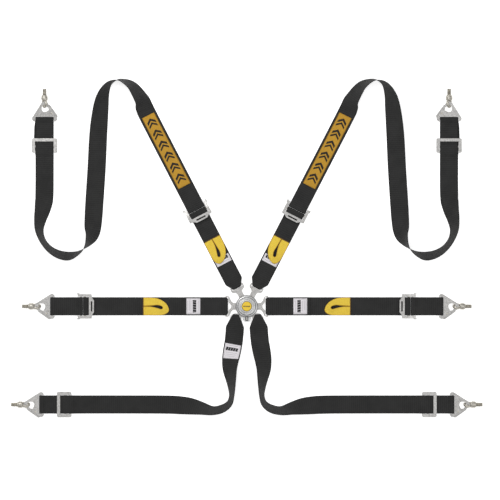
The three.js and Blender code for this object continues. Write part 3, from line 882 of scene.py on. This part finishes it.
def rounded(profile, radius):
    """A profile with its inner corners rounded off."""
    steps = 3
    result = [profile[0]]
    for a, b, c in zip(profile, profile[1:], profile[2:]):
        a, b, c = Vector(a), Vector(b), Vector(c)
        near = min(radius, (a - b).length * 0.45, (c - b).length * 0.45)
        start = b + (a - b).normalized() * near
        end = b + (c - b).normalized() * near
        for k in range(steps + 1):
            t = k / steps
            result.append(tuple(start.lerp(b, t).lerp(b.lerp(end, t), t)))
    return [*result, profile[-1]]


def torus(radius, wire):
    """A closed ring of round wire about Z."""
    steps = 48
    mesh = bmesh.new()
    rings = [wire_ring(mesh, radius, wire, 20, 2 * math.pi * k / steps) for k in range(steps)]
    return skin(mesh, [*rings, rings[0]], SMOOTH)


def coil(radius, wire, bottom, top, turns):
    """A coil spring of round wire about Z."""
    steps = 40
    mesh = bmesh.new()
    rings = []
    for k in range(turns * steps + 1):
        height = bottom + (top - bottom) * k / (turns * steps)
        rings.append(wire_ring(mesh, radius, wire, 10, 2 * math.pi * k / steps, height))
    mesh.faces.new(rings[0])
    mesh.faces.new(rings[-1])
    return skin(mesh, rings, SMOOTH)


def threaded_rod(radius, start, end, tip):
    """A rod about Z with a helical thread and a plain tapered tip."""
    sides = 32
    thread_depth = 0.75
    taper = 0.82
    mesh = bmesh.new()
    steps = round((end - start) / THREAD_PITCH * 8)
    rings = []
    for k in range(steps + 1):
        z = start + (end - start) * k / steps
        fade = min(1, (z - start) / THREAD_PITCH, (end - z) / THREAD_PITCH)
        row = []
        for i in range(sides):
            a = 2 * math.pi * i / sides
            turn = (z / THREAD_PITCH - i / sides) % 1
            reach = radius - thread_depth * abs(2 * turn - 1) * fade
            row.append(mesh.verts.new((reach * math.cos(a), reach * math.sin(a), z)))
        rings.append(row)
    rings.append([mesh.verts.new((v.co.x * taper, v.co.y * taper, tip)) for v in rings[-1]])
    mesh.faces.new(rings[0])
    mesh.faces.new(rings[-1])
    return skin(mesh, rings, SMOOTH)


def merge(*meshes):
    """One bmesh that holds the others."""
    whole = bmesh.new()
    for part in meshes:
        data = bpy.data.meshes.new("part")
        part.to_mesh(data)
        whole.from_mesh(data)
        part.free()
        bpy.data.meshes.remove(data)
    return whole


def eye_bolt(name, place, body, side):
    """The eye, collar, washer and threaded rod of one eye bolt, as one piece."""
    eye = torus(EYE_R, WIRE_R)
    eye.transform(Matrix.Rotation(math.radians(EYE_TILT), 4, "X"))
    neck = [(0, 6.9), (5.4, 6.9), (8.4, 8.2), (9.2, 11), (9.2, 17.6), (8.4, 20.4), (0, 20.4)]
    collar = lathe(rounded(neck, 1.2))
    washer = lathe([(0, 20.4), (7.4, 20.4), (7.4, SEAT), (0, SEAT)])
    rod = threaded_rod(THREAD_R, SEAT, ROD_END - 1, ROD_END)
    for part in (collar, washer, rod):
        part.transform(Matrix.Rotation(math.pi / 2, 4, "Y"))
    return piece(
        f"{name}_fine_{side}", merge(eye, collar, washer, rod), STEEL, body, side, place=place,
        replaces=[f"{name}_{side}"],
    )


def slab(low, high, bevel):
    """A box between two corners with rounded edges."""
    mesh = bmesh.new()
    size = [b - a for a, b in zip(low, high)]
    middle = [(a + b) / 2 for a, b in zip(low, high)]
    place = Matrix.Translation(middle) @ Matrix.Diagonal((*size, 1))
    bmesh.ops.create_cube(mesh, size=1, matrix=place)
    bmesh.ops.bevel(mesh, geom=mesh.edges, offset=bevel, segments=2, affect="EDGES")
    smooth(mesh)
    return mesh


def refine(node, material, bevel=0.5):
    """Gives a CAD node its material and rounds its edges with modifiers."""
    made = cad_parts[node]
    made.data.materials.clear()
    made.data.materials.append(material)
    for polygon in made.data.polygons:
        polygon.use_smooth = True
    weld = made.modifiers.new("weld", "WELD")
    weld.merge_threshold = 0.00002
    flat = made.modifiers.new("flat", "DECIMATE")
    flat.decimate_type = "DISSOLVE"
    flat.angle_limit = math.radians(1)
    if bevel:
        edge = made.modifiers.new("edge", "BEVEL")
        edge.width = bevel * MM
        edge.segments = 2
        edge.limit_method = "ANGLE"
        edge.angle_limit = math.radians(30)
    shade = made.modifiers.new("shade", "WEIGHTED_NORMAL")
    shade.keep_sharp = True


# ---------------------------------------------------------------- the straps
SEAM_LIFT = WEB_THICK / 2 + 0.02
LABEL_LIFT = WEB_THICK / 2 + 0.12
LABEL_HALF = 22
LABEL_THICK = 0.3
LAP_SEAM = (LAP_BAR + 18, 122)  # where seams and labels start and end along their straps
LAP_LABEL_SPAN = (128, 166)
SHOULDER_SEAM = (SHOULDER_BAR + 20, SHOULDER_SEWN_END)
SHOULDER_LABEL_SPAN = (132, 154)
CROTCH_LABEL_AT = (-38.8, -104.5)
CROTCH_LABEL_LENGTH = 41
GOLD = gold_patch()
CAP = yellow_cap()
LAP_LABEL = white_label(
    "lap_label", (-17, 11), (17, 20.5),
    [(-16, 15, 5), (-15, 14, 25), (-16, 12, 29.5), (-15, 15, 34)],
)
CROTCH_LABEL = white_label(
    "crotch_label", (-18, 9.5), (16, 19),
    [(-16, 13, 4), (-16, 15, 24), (-15, 12, 29), (-16, 10, 34)],
)


def sewn_label(name, place, start, end, height, material, body, side):
    """A square label on a straight, flat stretch of a strap."""
    flat = Ribbon(straight([(start, height), (end, height)], place))
    mesh = strip(flat, 0, end - start, -LABEL_HALF, LABEL_HALF, LABEL_LIFT, LABEL_THICK)
    made = piece(f"{name}_{side}", mesh, material, body, side)


def tongue_seam(name, place, start, end, body, side):
    """The box pattern that closes the webbing round a tongue's bar."""
    margin = 4
    flat = Ribbon(straight([(start, SECOND_Z), (end, SECOND_Z)], place))
    mesh = bmesh.new()
    for row in box_pattern(margin, end - start - margin):
        sew(mesh, flat, row, SEAM_LIFT)
    bmesh.ops.recalc_face_normals(mesh, faces=mesh.faces)
    piece(f"{name}_stitching_{side}", mesh, THREAD, body, side)


def add_lap(side):
    """A lap strap. The left one's inner run is fixed to the buckle and shares its body."""
    strap = "buckle" if side == "left" else "lap_strap_right"
    run = inner_run(LAP_BAR, LAP_SEWN_END, LAP_ADJUSTER, LAP_LOOP)
    webbing("lap_inner_webbing", straight(run, LAP_FRAME), strap, side, lap_half)
    outer = straight(lap_outer_run(), LAP_FRAME)
    webbing("lap_outer_webbing", outer, f"lap_outer_strap_{side}", side)
    tongue_seam("lap_tongue", LAP_FRAME, *LAP_SEAM, strap, side)
    sewn_label("lap_label", LAP_FRAME, *LAP_LABEL_SPAN, SECOND_Z, LAP_LABEL, strap, side)
    pull_loop("lap_pull_loop", LAP_LOOP, LAP_FRAME, strap, side)


def add_shoulder(side):
    """A shoulder strap with its lower run, its upper run and the gold patch on that."""
    strap = f"shoulder_strap_{side}"
    run = inner_run(SHOULDER_BAR, SHOULDER_SEWN_END, SHOULDER_ADJUSTER, SHOULDER_LOOP)
    webbing("shoulder_lower_webbing", straight(run, SHOULDER_FRAME), strap, side, shoulder_half)
    tongue_seam("shoulder_tongue", SHOULDER_FRAME, *SHOULDER_SEAM, strap, side)
    span = SHOULDER_LABEL_SPAN
    sewn_label("shoulder_label", SHOULDER_FRAME, *span, FLAT_Z, LAP_LABEL, strap, side)
    pull_loop("shoulder_pull_loop", SHOULDER_LOOP, SHOULDER_FRAME, strap, side)

    upper_body = f"shoulder_upper_strap_{side}"
    upper = webbing("shoulder_upper_webbing", shoulder_upper_run(), upper_body, side)
    start = upper.near((SHOULDER_FRAME @ Vector((PATCH_START, 0, 0))).xy)
    end = start + PATCH_LENGTH
    reach = PATCH_WIDTH / 2
    mesh = strip(upper, start, end, -reach, reach, WEB_THICK / 2 + GAP, PATCH_THICK, 60)
    made = piece(
        f"shoulder_patch_cloth_{side}", mesh, GOLD, upper_body, side,
        replaces=[f"shoulder_patch_{side}"],
    )


def add_crotch(side):
    """A crotch strap. Only the left one has a label."""
    strap = f"crotch_strap_{side}"
    ribbon = webbing("crotch_webbing", crotch_run(), strap, side, crotch_half)
    if side == "left":
        start = ribbon.near(CROTCH_LABEL_AT)
        end = start + CROTCH_LABEL_LENGTH
        mesh = strip(ribbon, start, end, -LABEL_HALF, LABEL_HALF, LABEL_LIFT, LABEL_THICK)
        made = piece("crotch_label_left", mesh, CROTCH_LABEL, strap, side)


def add_hook(name, place, at, gate_side, side):
    """The eye bolt and rivets of one snap hook; `gate_side` -1 mirrors them across the strap."""
    flip = Matrix.Diagonal((1, gate_side, 1, 1))
    reach = at + HOOK_PIVOT * math.cos(math.radians(HOOK_PITCH)) + EYE_R
    bolt = place @ Matrix.Translation((reach, 0, EYE_Z)) @ flip
    made = eye_bolt(f"{name}_eye_bolt", bolt, f"{name}_eye_bolt_{side}", side)
    if gate_side < 0:
        made.data.flip_normals()
    hook = place @ Matrix.Translation((at, 0, HOOK_Z)) @ flip
    hook = hook @ Matrix.Rotation(math.radians(-HOOK_PITCH), 4, "Y")
    heads = []
    face = 1.4
    for x, y, radius in ((15, 20, 2.6), (9, 14, 1.6)):
        rim = [(0, face), (radius, face), (radius, face + 0.5)]
        head = lathe([*rim, (radius * 0.7, face + 0.9), (0, face + 1)], 24)
        head.transform(Matrix.Translation((x, y, 0)))
        heads.append(head)
    made = piece(
        f"{name}_rivets_{side}", merge(*heads), STEEL, f"{name}_hook_{side}", side, place=hook,
    )
    if gate_side < 0:
        made.data.flip_normals()
    refine(f"{name}_snap_hook_{side}", ZINC)
    refine(f"{name}_hook_gate_{side}", ZINC, 0.4)


for side in ("left", "right"):
    add_lap(side)
    add_shoulder(side)
    add_crotch(side)
    add_hook("lap", LAP_FRAME, LAP_HOOK, 1, side)
    add_hook("shoulder", SHOULDER_END_FRAME, SHOULDER_HOOK, -1, side)
    add_hook("crotch", CROTCH_END_FRAME, CROTCH_HOOK, 1, side)
    for name in ("lap", "shoulder"):
        refine(f"{name}_adjuster_frame_{side}", ZINC)
        refine(f"{name}_adjuster_bar_{side}", STEEL, 0.3)
    for name in ("shoulder", "crotch"):
        refine(f"{name}_slide_{side}", ZINC, 0.7)
    for name in ("lap", "shoulder", "crotch"):
        refine(f"{name}_tongue_{side}", ZINC, 0.6)

refine("buckle_back_plate", ZINC)
refine("buckle_housing", CAST)

# Profiles of the buckle's turned pieces, as (radius, height) points.
CENTRE_CAP = [(0, 22.9), (13, 22.9), (13, 24), (11.5, 24.8), (6, 25.1), (0, 25.2)]
cap = lathe(rounded(CENTRE_CAP, 0.5), 96)
piece("centre_cap_fine", cap, CAP, "release_knob", replaces=["centre_cap"])
KNOB = [
    (0, 17.2), (24, 17.2), (24, 20.6), (22.6, 22), (20.6, 22.05), (20.2, 21.5), (19.6, 21.5),
    (19.2, 22.05), (18.4, 22), (17, 24), (14.2, 24.4), (13.3, 22.6), (0, 22.6),
]
GRIP_AT = 25.6
GRIP_R = 3.4
GRIP_TURN = math.radians(60)
knob = lathe(rounded(KNOB, 0.35), 144)
for vertex in knob.verts:
    # Six round grips are cut into the rim.
    turn = (math.atan2(vertex.co.y, vertex.co.x) - GRIP_TURN / 2) % GRIP_TURN
    turn = min(turn, GRIP_TURN - turn)
    chord = GRIP_AT * math.sin(turn)
    if chord < GRIP_R:
        edge = GRIP_AT * math.cos(turn) - math.sqrt(GRIP_R**2 - chord**2)
        radius = vertex.co.xy.length
        if radius > edge:
            vertex.co.xy *= edge / radius
piece("release_knob_fine", knob, CAST, "release_knob", replaces=["release_knob"])

# Painted shade: near-black rings in the gaps round the knob and the cap, and a near-black slab in the
# tab's slot.
for name, body, inner, outer, bottom, top in (
    ("housing_gap_shade", "buckle", 24.3, 25.4, 16.6, 17.25),
    ("cap_gap_shade", "release_knob", 13.1, 14.0, 22.7, 24.15),
):
    ring = lathe([(inner, bottom), (outer, bottom), (outer, top), (inner, top), (inner, bottom)], 96)
    piece(name, ring, RECESS_SHADE, body)
piece("tab_slot_shade", slab((-4.1, -39.8, 9.9), (4.1, -27.4, 10.5), 0.2), RECESS_SHADE, "buckle")
piece("tab_button", slab((-1.9, -37.6, 10.4), (1.9, -29.6, 12.4), 0.4), ZINC, "buckle")
for node in ("cam_shaft", "retaining_clip", "latch_plate"):
    refine(node, STEEL, 0)

# The return spring is held at its top end.
SPRING_WIRE = 0.45
spring = piece(
    "return_spring_fine", coil(10, SPRING_WIRE, 11.3, 13.9, 3), STEEL, "buckle",
    replaces=["return_spring"],
)
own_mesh(spring)

# ---------------------------------------------------------------- stage, light and camera
MIDDLE_Y = 0.155  # the middle of the laid-out harness
bpy.ops.mesh.primitive_plane_add(size=12, location=(0, MIDDLE_Y, -0.0004))
floor = bpy.context.object
floor.name = "floor"
ground = Surface("floor", Roughness=0.9, Emission_Strength=0.6)
ground.shader.inputs["Emission Color"].default_value = (1, 1, 1, 1)
ground.colour(ground.mix(ground.noise(3), (0.9, 0.9, 0.9, 1), (0.94, 0.94, 0.94, 1)))
floor.data.materials.append(ground.material)

# The sky is bright overhead and darker towards the horizon, so that bevels outline the metal.
world = bpy.data.worlds.new("studio")
world.use_nodes = True
sky = world.node_tree
direction = sky.nodes.new("ShaderNodeTexCoord")
parts = sky.nodes.new("ShaderNodeSeparateXYZ")
climb = sky.nodes.new("ShaderNodeMapRange")
for socket, value in (("From Min", 0.35), ("From Max", 0.95), ("To Min", 0.22), ("To Max", 1)):
    climb.inputs[socket].default_value = value
sky.links.new(direction.outputs["Generated"], parts.inputs[0])
sky.links.new(parts.outputs[2], climb.inputs["Value"])
sky.links.new(climb.outputs[0], sky.nodes["Background"].inputs["Color"])
sky.nodes["Background"].inputs["Strength"].default_value = 0.95
bpy.context.scene.world = world

for name, location, size, power in (
    ("key", (-1.2, 1.6, 2.4), 1.6, 30),
    ("fill", (1.8, -0.6, 2.2), 2.0, 12),
):
    data = bpy.data.lights.new(name, "AREA")
    data.size = size
    data.energy = power
    lamp = bpy.data.objects.new(name, data)
    lamp.location = location
    aim = Vector((0, 0.15, 0)) - Vector(location)
    lamp.rotation_euler = aim.to_track_quat("-Z", "Y").to_euler()
    bpy.context.scene.collection.objects.link(lamp)

FRAME_WIDTH = 1.375  # metres of the floor across the picture
LENS = 450
SENSOR = 36
camera_data = bpy.data.cameras.new("camera")
camera_data.lens = LENS
camera_data.sensor_width = SENSOR
camera_data.clip_end = 100
camera = bpy.data.objects.new("camera", camera_data)
camera.location = (0.0088, 0.1548, FRAME_WIDTH * LENS / SENSOR)
bpy.context.scene.collection.objects.link(camera)
bpy.context.scene.camera = camera
bpy.context.scene.view_settings.view_transform = "Standard"
